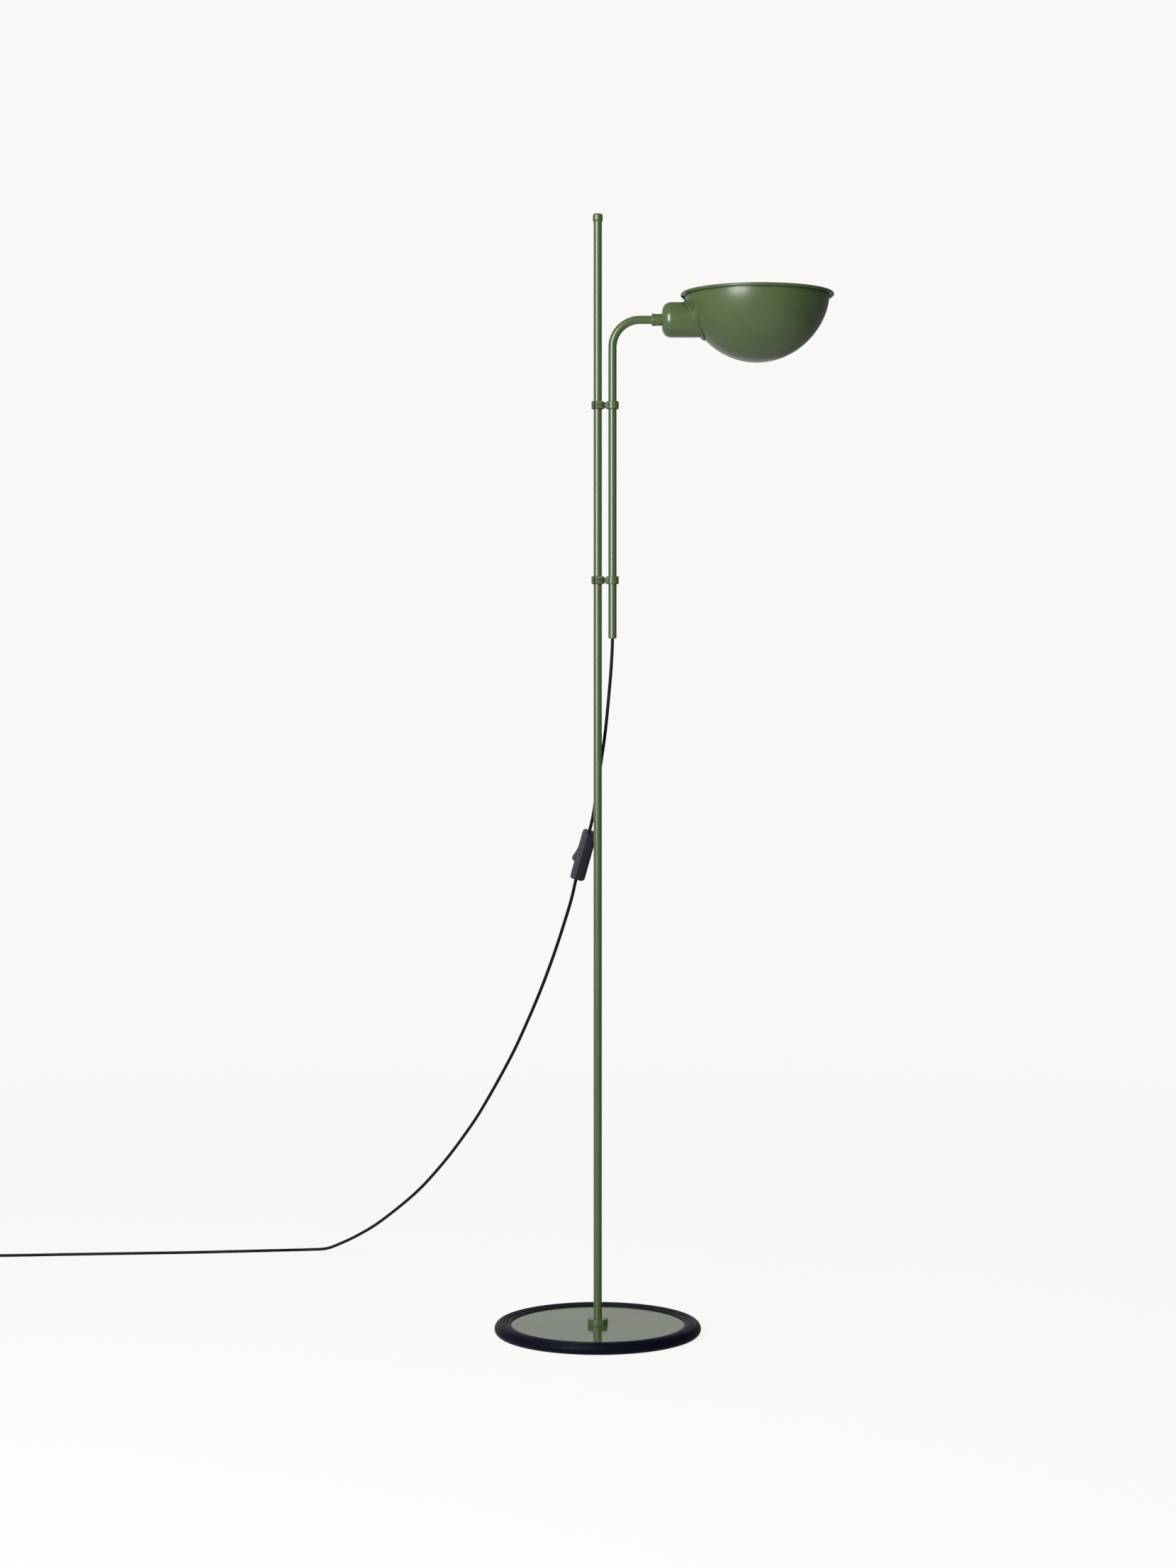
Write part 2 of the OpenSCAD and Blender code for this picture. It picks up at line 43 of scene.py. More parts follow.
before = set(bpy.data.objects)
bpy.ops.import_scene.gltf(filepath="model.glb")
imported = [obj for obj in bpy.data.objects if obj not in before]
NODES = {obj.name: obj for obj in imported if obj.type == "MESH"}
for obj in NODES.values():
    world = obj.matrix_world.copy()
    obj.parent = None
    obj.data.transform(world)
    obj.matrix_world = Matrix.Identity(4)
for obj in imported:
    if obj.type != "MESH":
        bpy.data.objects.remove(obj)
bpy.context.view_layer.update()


# ---- sizes, from the frame ----


def middle(node):
    low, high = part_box(node)
    return [(a + b) / 2 for a, b in zip(low, high)]


def span(node, axis):
    low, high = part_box(node)
    return low[axis], high[axis]


def half_span(node, axis):
    low, high = span(node, axis)
    return (high - low) / 2


LAMP_TOP = span("pole_cap", 2)[1]
TUBE_R = half_span("pole_tube", 0)
BORE_R = TUBE_R - 1 * MM
TUBE_FIT = TUBE_R + 0.02 * MM  # inner radius of what sits round a tube
DISC_R = 108 * MM
DISC_TOP = span("base_disc", 2)[1]
RING_TOP = span("base_ring", 2)[1]
ARM_X = middle("arm_sleeves")[0]
ARM_LOW = span("arm_tube", 2)[0]
RUN_Z = middle("arm_collar")[2]
RUN_END = span("arm_tube", 0)[1]
BEND_R = 33 * MM
BOWL_X = middle("shade_bowl")[0]
RIM_Z = RUN_Z + 30 * MM
BOWL_R = 87 * MM
BOWL_DEPTH = 81 * MM
BOWL_WALL = 1.4 * MM
RIM_R = half_span("shade_bowl", 0)
HOUSING_R = half_span("socket_housing", 1)
HOUSING_BACK = span("socket_housing", 0)[0]
HOUSING_WALL = 1.4 * MM
SWITCH_AT = Vector((-17, 47, 574.5)) * MM
SWITCH_TURN = (9, 15.5)  # degrees about its own X, then about Y
SWITCH_HALF = 30 * MM  # half its length
SWITCH_WIDE = 26 * MM
SWITCH_EDGE = 2.6 * MM  # radius of its long edges
SWITCH_SCREWS = (-22 * MM, 22 * MM)
CORD_D = 4 * MM


# ---- camera ----


CAMERA_AT = (-0.0117, -3.5, 0.748)
CAMERA_LENS = 66.64
CAMERA_SHIFT = -0.0453


def make_camera():
    """A level camera in front of the lamp."""
    data = bpy.data.cameras.new("camera")
    data.sensor_width = 36
    data.lens = CAMERA_LENS
    data.shift_y = CAMERA_SHIFT
    data.clip_end = 60
    camera = bpy.data.objects.new("camera", data)
    camera.location = CAMERA_AT
    camera.rotation_euler = (math.radians(90), 0, 0)
    bpy.context.scene.collection.objects.link(camera)
    bpy.context.scene.camera = camera


# ---- mesh helpers ----


def new_object(name, mesh):
    piece = bpy.data.objects.new(name, mesh)
    bpy.context.scene.collection.objects.link(piece)
    return piece


def finish_mesh(bm, name, sharp=35):
    """The bmesh as an object, smooth but for edges over that many degrees."""
    bmesh.ops.remove_doubles(bm, verts=bm.verts, dist=1e-7)
    bmesh.ops.recalc_face_normals(bm, faces=bm.faces)
    mesh = bpy.data.meshes.new(name)
    bm.to_mesh(mesh)
    bm.free()
    smooth_by(mesh, sharp)
    return new_object(name, mesh)


def smooth_by(mesh, sharp=35):
    mesh.polygons.foreach_set("use_smooth", [True] * len(mesh.polygons))
    mesh.set_sharp_from_angle(angle=math.radians(sharp))


def arc(centre, radius, start, end, steps):
    """Points on an arc, with angles in degrees."""
    angles = (math.radians(start + (end - start) * i / steps) for i in range(steps + 1))
    return [(centre[0] + radius * math.cos(a), centre[1] + radius * math.sin(a)) for a in angles]


def rounded(corners, steps=5):
    """The closed outline through corners (x, y, radius), each corner rounded by its radius."""
    line = []
    for i, (x, y, r) in enumerate(corners):
        here = Vector((x, y))
        before = Vector(corners[i - 1][:2]) - here
        after = Vector(corners[(i + 1) % len(corners)][:2]) - here
        if r <= 0:
            line.append((x, y))
            continue
        half = before.angle(after) / 2
        back = min(r / math.tan(half), before.length / 2, after.length / 2)
        r = back * math.tan(half)
        centre = here + (before.normalized() + after.normalized()).normalized() * r / math.sin(half)
        a = (here + before.normalized() * back) - centre
        b = (here + after.normalized() * back) - centre
        turn = a.angle_signed(b)
        for k in range(steps + 1):
            p = a.copy()
            p.rotate(Matrix.Rotation(-turn * k / steps, 2))
            line.append(tuple(centre + p))
    return line


def lathe(name, outline, along="Z", at=(0, 0, 0), sides=128, sharp=35):
    """A closed outline of (radius, height) turned about the axis Z or X through a place."""
    bm = bmesh.new()
    rings = []
    for r, h in outline:
        count = 1 if r < 1e-7 else sides
        ring = []
        for k in range(count):
            a = 2 * math.pi * k / count
            u, v = r * math.cos(a), r * math.sin(a)
            place = (u, v, h) if along == "Z" else (h, u, v)
            ring.append(bm.verts.new(Vector(at) + Vector(place)))
        rings.append(ring)
    for ring, other in zip(rings, rings[1:] + rings[:1]):
        if len(ring) == 1 and len(other) == 1:
            continue
        for k in range(sides):
            corners = [ring[k % len(ring)], ring[(k + 1) % len(ring)]]
            corners += [other[(k + 1) % len(other)], other[k % len(other)]]
            bm.faces.new(list(dict.fromkeys(corners)))
    return finish_mesh(bm, name, sharp)


def frames_along(line):
    """A pair of directions square to the line at each of its points, turned as little as possible."""
    line = [Vector(p) for p in line]
    last = len(line) - 1
    ahead = [(line[min(i + 1, last)] - line[max(i - 1, 0)]).normalized() for i in range(last + 1)]
    side = ahead[0].orthogonal().normalized()
    found = []
    for way in ahead:
        side = (side - way * side.dot(way)).normalized()
        found.append((side, way.cross(side)))
    return found


def pipe(name, line, outer, inner=0.0, sides=24):
    """A round rod or tube along a line."""
    bm = bmesh.new()
    shells = []
    for r in [outer] + ([inner] if inner else []):
        rings = []
        for p, (side, up) in zip(line, frames_along(line)):
            angles = (2 * math.pi * k / sides for k in range(sides))
            outward = (math.cos(a) * side + math.sin(a) * up for a in angles)
            rings.append([bm.verts.new(Vector(p) + r * way) for way in outward])
        for ring, other in zip(rings, rings[1:]):
            for k in range(sides):
                bm.faces.new([ring[k], ring[(k + 1) % sides], other[(k + 1) % sides], other[k]])
        shells.append(rings)
    for end in (0, -1):
        if inner:
            a, b = shells[0][end], shells[1][end]
            for k in range(sides):
                bm.faces.new([a[k], a[(k + 1) % sides], b[(k + 1) % sides], b[k]])
        else:
            bm.faces.new(shells[0][end])
    return finish_mesh(bm, name, 50)


def prism(name, outline, width):
    """An outline of (x, z) given a width along Y, centred on y = 0."""
    bm = bmesh.new()
    sides = [[bm.verts.new((x, y, z)) for x, z in outline] for y in (-width / 2, width / 2)]
    bm.faces.new(sides[0])
    bm.faces.new(sides[1][::-1])
    for i in range(len(outline)):
        j = (i + 1) % len(outline)
        bm.faces.new([sides[0][i], sides[0][j], sides[1][j], sides[1][i]])
    return finish_mesh(bm, name)


def skinned(name, rows, sharp, round_trip=False):
    """The surface through rows of points, with flat ends, or closed into a ring."""
    bm = bmesh.new()
    rows = [[bm.verts.new(p) for p in row] for row in rows]
    count = len(rows[0])
    for row, other in zip(rows, rows[1:] + (rows[:1] if round_trip else [])):
        for k in range(count):
            j = (k + 1) % count
            bm.faces.new([row[k], row[j], other[j], other[k]])
    if not round_trip:
        bm.faces.new(rows[0])
        bm.faces.new(rows[-1][::-1])
    return finish_mesh(bm, name, sharp)


def apply_modifiers(piece):
    """Turns the piece's modifiers into its mesh."""
    seen = piece.evaluated_get(bpy.context.evaluated_depsgraph_get())
    mesh = bpy.data.meshes.new_from_object(seen)
    piece.modifiers.clear()
    old, piece.data = piece.data, mesh
    bpy.data.meshes.remove(old)
    return piece


def bevel(piece, width, segments):
    """Rounds the edges over 40 degrees by up to a width."""
    made = piece.modifiers.new("edges", "BEVEL")
    made.width = width
    made.segments = segments
    made.limit_method = "ANGLE"
    made.angle_limit = math.radians(40)
    made.harden_normals = True
    apply_modifiers(piece)
    smooth_by(piece.data)
    return piece


def cut(piece, *tools, sharp=35):
    """Takes the tools' volume off the piece, and removes the tools."""
    for tool in tools:
        made = piece.modifiers.new("cut", "BOOLEAN")
        made.operation = "DIFFERENCE"
        made.solver = "EXACT"
        made.object = tool
    apply_modifiers(piece)
    for tool in tools:
        bpy.data.objects.remove(tool)
    smooth_by(piece.data, sharp)
    return piece


def joined(name, *pieces):
    """One object with all the pieces' meshes in it."""
    bm = bmesh.new()
    for piece in pieces:
        copy = piece.data.copy()
        copy.transform(piece.matrix_world)
        bm.from_mesh(copy)
        bpy.data.meshes.remove(copy)
    mesh = bpy.data.meshes.new(name)
    bm.to_mesh(mesh)
    bm.free()
    for material in pieces[0].data.materials:
        mesh.materials.append(material)
    for piece in pieces:
        bpy.data.objects.remove(piece)
    return new_object(name, mesh)


def rod(radius, start, end, sides=48):
    start, end = Vector(start), Vector(end)
    return pipe("rod", [start, (start + end) / 2, end], radius, sides=sides)


def into_switch(piece):
    """Moves a piece from the switch's own frame to where the switch hangs."""
    a, b = (math.radians(v) for v in SWITCH_TURN)
    turn = Matrix.Rotation(b, 4, "Y") @ Matrix.Rotation(a, 4, "X")
    piece.data.transform(Matrix.Translation(SWITCH_AT) @ turn)
    return piece


# ---- materials ----


class Nodes:
    """A material under construction: short calls that add nodes and link them."""

    def __init__(self, name):
        self.material = bpy.data.materials.new(name)
        self.material.use_nodes = True
        self.tree = self.material.node_tree
        self.shader = self.tree.nodes["Principled BSDF"]
        self.place = self.add("ShaderNodeTexCoord").outputs["Object"]

    def add(self, kind, **values):
        node = self.tree.nodes.new(kind)
        for key, value in values.items():
            setattr(node, key, value)
        return node

    def link(self, source, target):
        self.tree.links.new(source, target)

    def set(self, **values):
        for key, value in values.items():
            self.shader.inputs[key.replace("_", " ")].default_value = value
        return self

    def stretched(self, scale):
        mapping = self.add("ShaderNodeMapping")
        mapping.inputs["Scale"].default_value = scale
        self.link(self.place, mapping.inputs["Vector"])
        return mapping.outputs["Vector"]

    def noise(self, scale, detail=3, rough=0.5, where=None):
        node = self.add("ShaderNodeTexNoise")
        node.inputs["Scale"].default_value = scale
        node.inputs["Detail"].default_value = detail
        node.inputs["Roughness"].default_value = rough
        self.link(where or self.place, node.inputs["Vector"])
        return node.outputs["Fac"]

    def ramp(self, factor, stops):
        node = self.add("ShaderNodeValToRGB")
        for i, (at, colour) in enumerate(stops):
            stop = node.color_ramp.elements[i] if i < 2 else node.color_ramp.elements.new(at)
            stop.position = at
            stop.color = (*colour, 1)
        self.link(factor, node.inputs["Fac"])
        return node.outputs["Color"]

    def range(self, factor, low, high):
        node = self.add("ShaderNodeMapRange")
        node.inputs["To Min"].default_value = low
        node.inputs["To Max"].default_value = high
        self.link(factor, node.inputs["Value"])
        return node.outputs["Result"]

    def bump(self, height, distance, strength=1.0, under=None):
        node = self.add("ShaderNodeBump")
        node.inputs["Distance"].default_value = distance
        node.inputs["Strength"].default_value = strength
        self.link(height, node.inputs["Height"])
        if under:
            self.link(under, node.inputs["Normal"])
        return node.outputs["Normal"]

    def colour(self, factor, dark, light):
        self.link(self.ramp(factor, [(0.3, dark), (0.7, light)]), self.shader.inputs["Base Color"])
        return self

    def roughness(self, factor, low, high):
        self.link(self.range(factor, low, high), self.shader.inputs["Roughness"])
        return self

    def normal(self, output):
        self.link(output, self.shader.inputs["Normal"])
        return self


GREEN_DARK = (0.062, 0.100, 0.033)
GREEN_LIGHT = (0.071, 0.112, 0.038)


def powder_coat(name, low, high, coat, peel_size, relief):
    """Green paint with a faint orange peel: low and high are its roughness, coat its clear gloss."""
    made = Nodes(name)
    made.colour(made.noise(35, 4), GREEN_DARK, GREEN_LIGHT)
    made.roughness(made.noise(60, 3), low, high)
    peel = made.bump(made.noise(1400, 2), 0.00003, relief)
    made.normal(made.bump(made.noise(peel_size, 2), 0.00004, relief, peel))
    made.set(IOR=1.48, Coat_Weight=coat, Coat_Roughness=0.22)
    return made.material


def base_gloss():
    made = Nodes("green_gloss_enamel")
    made.colour(made.noise(20, 3), GREEN_DARK, GREEN_LIGHT)
    made.roughness(made.noise(90, 4), 0.10, 0.14)
    made.normal(made.bump(made.noise(120, 2), 0.00003, 0.15))
    made.set(IOR=1.36)
    return made.material


def white_enamel():
    made = Nodes("white_enamel")
    made.colour(made.noise(30, 3), (0.78, 0.78, 0.75), (0.83, 0.83, 0.80))
    made.roughness(made.noise(50, 3), 0.3, 0.4)
    made.normal(made.bump(made.noise(700, 2), 0.00004, 0.4))
    made.set(Coat_Weight=0.2, Coat_Roughness=0.15)
    return made.material


def rubber(name, dark, light, low=0.42, high=0.6, grain=0.00012, ior=1.45):
    made = Nodes(name)
    made.colour(made.noise(240, 5, 0.6), dark, light)
    made.roughness(made.noise(150, 4), low, high)
    made.normal(made.bump(made.noise(1600, 4, 0.6), grain, 0.5))
    made.set(IOR=ior)
    return made.material


def moulded(name, dark, light, low=0.36, high=0.5, grain=0.0001, ior=1.5):
    made = Nodes(name)
    made.colour(made.noise(90, 4), dark, light)
    made.roughness(made.noise(200, 4), low, high)
    made.normal(made.bump(made.noise(2200, 3, 0.7), grain, 0.4))
    made.set(IOR=ior)
    return made.material


def metal(name, dark, light, low, high, stretch):
    made = Nodes(name)
    streaks = made.noise(900, 3, 0.6, made.stretched(stretch))
    made.colour(streaks, dark, light)
    made.roughness(streaks, low, high)
    made.normal(made.bump(streaks, 0.00002, 0.4))
    made.set(Metallic=1.0)
    return made.material


def opal_glass():
    made = Nodes("opal_glass")
    made.colour(made.noise(40, 2), (0.86, 0.86, 0.83), (0.93, 0.93, 0.90))
    made.roughness(made.noise(80, 2), 0.12, 0.2)
    made.set(IOR=1.5, Transmission_Weight=0.35, Coat_Weight=0.6, Coat_Roughness=0.05)
    return made.material


def make_materials():
    return {
        "paint": powder_coat("green_powder_coat", 0.33, 0.39, 0.3, 260, 0.3),
        "tube": powder_coat("green_tube_paint", 0.23, 0.28, 0.6, 120, 0.08),
        "gloss": base_gloss(),
        "enamel": white_enamel(),
        "ring": rubber("navy_rubber", (0.0013, 0.0024, 0.0090), (0.0023, 0.0038, 0.0125),
                       0.34, 0.5, 0.00012, 1.2),
        "black_rubber": rubber("black_rubber", (0.008, 0.008, 0.009), (0.014, 0.014, 0.015)),
        "cord": rubber("cord_sheath", (0.0016, 0.0016, 0.0018), (0.0026, 0.0026, 0.0028),
                       0.45, 0.6, 0.00006, 1.3),
        "plastic": moulded("black_plastic", (0.010, 0.010, 0.011), (0.016, 0.016, 0.017)),
        # One plastic for the switch in two tones: the lighter one is painted light from the left, the
        # darker one is painted shade
        "switch_front": moulded("switch_plastic_painted_light", (0.040, 0.035, 0.048), (0.050, 0.044, 0.060),
                                0.4, 0.52, 0.0001, 1.35),
        "switch_back": moulded("switch_plastic_painted_shade", (0.008, 0.0073, 0.0135), (0.011, 0.0097, 0.017),
                               0.4, 0.52, 0.0001, 1.28),
        "white_plastic": moulded("white_plastic", (0.74, 0.74, 0.70), (0.82, 0.82, 0.78), 0.25, 0.35),
        "lead": moulded("lead_insulation", (0.03, 0.07, 0.30), (0.04, 0.09, 0.36), 0.35, 0.45),
        "steel": metal("zinc_steel", (0.50, 0.50, 0.52), (0.64, 0.64, 0.66), 0.28, 0.45, (1, 1, 0.05)),
        "nickel": metal("nickel", (0.62, 0.61, 0.59), (0.74, 0.73, 0.71), 0.15, 0.28, (0.05, 1, 1)),
        "brass": metal("turned_brass", (0.58, 0.42, 0.16), (0.74, 0.56, 0.24), 0.22, 0.38, (1, 0.1, 0.1)),
        "glass": opal_glass(),
    }


def wear(piece, *materials):
    piece.data.materials.clear()
    for material in materials:
        piece.data.materials.append(material)
    return piece


def stand_in(piece, body, slot, material, *nodes):
    """Gives a finished piece its material and body, and hides the CAD nodes that it stands for."""
    if material:
        wear(piece, material)
    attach(piece, body)
    if nodes:
        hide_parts(*nodes)
    return piece


def dress_node(node, material):
    """A CAD node that keeps its own shape gets a better material."""
    piece = NODES[node]
    if not piece.material_slots:
        piece.data.materials.append(material)
    for place in piece.material_slots:
        place.link = "OBJECT"
        place.material = material


# ---- cords: the routes are the CAD's, in millimetres ----

UPPER_ROUTE = [
    (17.8, 0, 850), (17.8, 0, 838), (17.3, 0.3, 822), (15.9, 2.2, 798), (13.7, 5.6, 772),
    (9.3, 11.8, 726), (4.6, 20, 692), (-0.3, 29, 658), (-5.2, 36.5, 625), (-9.3, 41.8, 606.2),
    (-11.4, 43.1, 598.6),
]
LOWER_ROUTE = [
    (-24.6, 50.9, 551), (-26.7, 52.2, 543.4), (-31.5, 58.5, 522), (-38.9, 74, 496),
    (-52.9, 95, 452), (-69.4, 118, 406), (-88.6, 143, 359), (-110.3, 172, 311), (-146.8, 222, 242),
    (-172.2, 256, 201), (-202.4, 296, 158), (-240.2, 347, 112), (-290.9, 414, 63),
    (-326.5, 461, 35), (-357.5, 500, 15), (-375, 524, 5.5), (-395.5, 535, 2.2), (-438, 530, 2),
    (-489, 523, 2), (-560, 514, 2), (-640, 507, 2), (-720, 500, 2), (-790, 493, 2),
    (-835, 488, 2.4), (-865, 486, 3),
]
COIL_AT = (-865, 458)
COIL_R = 24  # middle turn of three
COIL_LOW = 3  # middle of the lower layer's turns
COIL_PLACES = [(1, 0), (0, 0), (-1, 0), (-1, 1), (0, 1), (1, 1)]  # across and layer, turn by turn
COIL_TURNS = 5.25
COIL_JOG = 0.25  # part of a turn over which the cord moves to its next place


def smooth(route, steps):
    """The curve through a route's points that part.scad sweeps, in metres."""
    p = [np.array(v, float) * MM for v in route]
    last = len(p) - 1
    line = []
    for i in range(last):
        a, b, c, d = p[max(0, i - 1)], p[i], p[i + 1], p[min(last, i + 2)]
        for k in range(steps):
            t = k / steps
            line.append(0.5 * (2 * b + (c - a) * t + (2 * a - 5 * b + 4 * c - d) * t**2
                               + (3 * b - a - 3 * c + d) * t**3))
    return line + [p[last]]


def coil_line():
    """The turns: three side by side, winding in, then three on top of them, winding out."""
    line = []
    count = round(COIL_TURNS * 48)
    for i in range(1, count + 1):
        turns = i * COIL_TURNS / count
        n = min(int(turns), len(COIL_PLACES) - 1)
        after = COIL_PLACES[min(n + 1, len(COIL_PLACES) - 1)]
        t = max(0.0, (turns - n - 1 + COIL_JOG) / COIL_JOG)
        t = t * t * (3 - 2 * t)
        across, layer = (a + (b - a) * t for a, b in zip(COIL_PLACES[n], after))
        r = COIL_R + CORD_D / MM * across
        a = math.radians(90 + 360 * turns)
        line.append(np.array((COIL_AT[0] + r * math.cos(a), COIL_AT[1] + r * math.sin(a),
                              COIL_LOW + CORD_D / MM * layer)) * MM)
    return line


def make_cords(looks):
    upper = smooth(UPPER_ROUTE, 8)
    piece = pipe("cord_to_switch", upper, CORD_D / 2, sides=20)
    wear(piece, looks["cord"])
    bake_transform(piece)
    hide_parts("cord_upper")

    hanging = smooth(LOWER_ROUTE, 8)
    ending = coil_line()
    tail = np.array((middle("plug_tail")[0], span("plug_tail", 1)[1], middle("plug_tail")[2]))
    ending += [ending[-1] + (tail - ending[-1]) * t for t in (0.3, 0.6, 1.0)]
    lower = hanging + ending
    piece = pipe("cord_to_plug", lower, CORD_D / 2, sides=16)
    wear(piece, looks["cord"])
    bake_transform(piece)
    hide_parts("cord_lower", "cord_coil")


# ---- base ----


RING_GROOVES = (66, 45, 24, 6)  # angles round the outside of the rubber, in degrees
RING_GROOVE_DEEP = 0.45 * MM


def make_base(looks):
    """The rubber ring, with ridges round its top and a full round outside, and the gloss disc in it."""
    top = RING_TOP
    seen, shoulder = 104.5 * MM, 117 * MM
    outside = []
    for i in range(100):
        angle = 84 - 84 * i / 99
        groove = RING_GROOVE_DEEP * max(math.exp(-((angle - at) / 2.2) ** 2) for at in RING_GROOVES)
        outside += arc((shoulder, top - 7.5 * MM), 7.5 * MM - groove, angle, angle, 1)[:1]
    outside += arc((shoulder + 1 * MM, 6.5 * MM), 6.5 * MM, -4, -75, 10)
    inside = rounded([
        (DISC_R, DISC_TOP, 0), (seen, DISC_TOP, 0), (seen, DISC_TOP + 1.0 * MM, 0.5 * MM),
        (106.4 * MM, DISC_TOP + 1.5 * MM, 0.8 * MM), (109.0 * MM, top - 0.9 * MM, 0.6 * MM),
        (109.5 * MM, top - 1.5 * MM, 0.3 * MM), (110.0 * MM, top - 1.5 * MM, 0.3 * MM),
        (110.6 * MM, top - 0.5 * MM, 0.5 * MM), (112.4 * MM, top - 0.2 * MM, 0.5 * MM),
        (112.9 * MM, top - 1.0 * MM, 0.3 * MM), (113.4 * MM, top - 1.0 * MM, 0.3 * MM),
        (113.9 * MM, top, 0.5 * MM), (115.6 * MM, top, 0.5 * MM),
        (116.0 * MM, top - 0.8 * MM, 0.3 * MM), (116.5 * MM, top - 0.8 * MM, 0.3 * MM),
        (shoulder, top, 0)], 6)
    foot = rounded([
        (119 * MM, 0.2 * MM, 0), (116 * MM, 0, 0), (100 * MM, 0, 0.4 * MM), (100 * MM, 3 * MM, 0.3 * MM),
        (DISC_R, 3 * MM, 0)], 4)
    ring = lathe("ring_rubber_moulding", inside[:-1] + outside + foot[1:], sides=256, sharp=50)
    stand_in(ring, "stand", "ring_rubber", looks["ring"], "base_ring")

    disc = lathe("disc_enamelled", rounded([
        (0, DISC_TOP, 0), (DISC_R - 0.5 * MM, DISC_TOP, 0), (DISC_R, DISC_TOP, 0.4 * MM),
        (DISC_R, 3 * MM, 0.4 * MM),
        (11 * MM, 3 * MM, 0.2 * MM), (11 * MM, 6.6 * MM, 0.2 * MM), (0, 6.6 * MM, 0)], 4), sides=256)
    stand_in(disc, "stand", "base_green", looks["gloss"], "base_disc")


def make_foot(looks):
    low, high = span("pole_foot", 2)
    r = half_span("pole_foot", 0)
    foot = lathe("foot_collar", rounded([
        (TUBE_FIT, low, 0), (r, low, 0.3 * MM), (r, high, 0.7 * MM),
        (TUBE_FIT, high, 0.3 * MM)], 5))
    screw = middle("foot_screw")
    cut(foot, rod(1.3 * MM, (screw[0], screw[1], high - 4 * MM), (screw[0], screw[1], high + MM)))
    stand_in(foot, "stand", "green_paint", looks["paint"], "pole_foot")


def make_pole(looks):
    low, high = span("pole_tube", 2)
    tube = lathe("pole_painted_tube", [
        (BORE_R, low), (TUBE_R, low), (TUBE_R, high), (BORE_R, high)], sides=96)
    stand_in(tube, "stand", "green_paint", looks["tube"], "pole_tube")
    low = LAMP_TOP - 10 * MM
    r = 6.0 * MM
    cap = lathe("pole_end_cap", rounded([
        (0, LAMP_TOP, 0), (r, LAMP_TOP - 0.1 * MM, 2.4 * MM), (r, low + 2.2 * MM, 1.2 * MM),
        (5.3 * MM, low, 0.4 * MM), (TUBE_FIT, low, 0), (TUBE_FIT, low + 4.1 * MM, 0),
        (0, low + 4.1 * MM, 0)], 7), sides=96)
    stand_in(cap, "stand", "green_paint", looks["tube"], "pole_cap")


# ---- clips ----


CLIP_RING_R = 7.6 * MM
CLIP_BORE_R = 5.67 * MM
CLIP_WEB_WIDE = 8.6 * MM
CLIP_SCREW_X = 1.5 * MM


def slab(x0, x1, z0, z1, y0, y1):
    """A block, used only to cut with."""
    block = prism("slab", [(x0, z0), (x1, z0), (x1, z1), (x0, z1)], y1 - y0)
    block.data.transform(Matrix.Translation((0, (y0 + y1) / 2, 0)))
    return block


def clip_block(z, half):
    """The clip's body before its bores: two rings, the waisted web between them, and the screw's pad."""
    mid = ARM_X / 2
    dip = 14 * MM
    rings = [lathe("r", rounded([
        (0, -half, 0), (CLIP_RING_R, -half, 0.8 * MM), (CLIP_RING_R, half, 0.8 * MM), (0, half, 0)]),
        at=(x, 0, 0), sides=96) for x in (0, ARM_X)]
    web = prism("w", arc((mid, half + dip - 1.4 * MM), dip, 250, 290, 12)
                + arc((mid, -half - dip + 1.4 * MM), dip, 70, 110, 12), CLIP_WEB_WIDE)
    pad = prism("p", rounded([
        (-2.9 * MM, -half + 0.3 * MM, 1.2 * MM), (5.8 * MM, -half + 0.3 * MM, 1.2 * MM),
        (5.8 * MM, half - 0.3 * MM, 1.2 * MM), (-2.9 * MM, half - 0.3 * MM, 1.2 * MM)]), 5.4 * MM)
    pad.data.transform(Matrix.Translation((0, -6.6 * MM, 0)))
    block = joined("clip", *rings, web, pad)
    made = block.modifiers.new("skin", "REMESH")
    made.mode = "VOXEL"
    made.voxel_size = 0.28 * MM
    made.use_smooth_shade = True
    soften = block.modifiers.new("soften", "SMOOTH")
    soften.factor = 0.5
    soften.iterations = 7
    apply_modifiers(block)
    block.data.transform(Matrix.Translation((0, 0, z)))
    return block


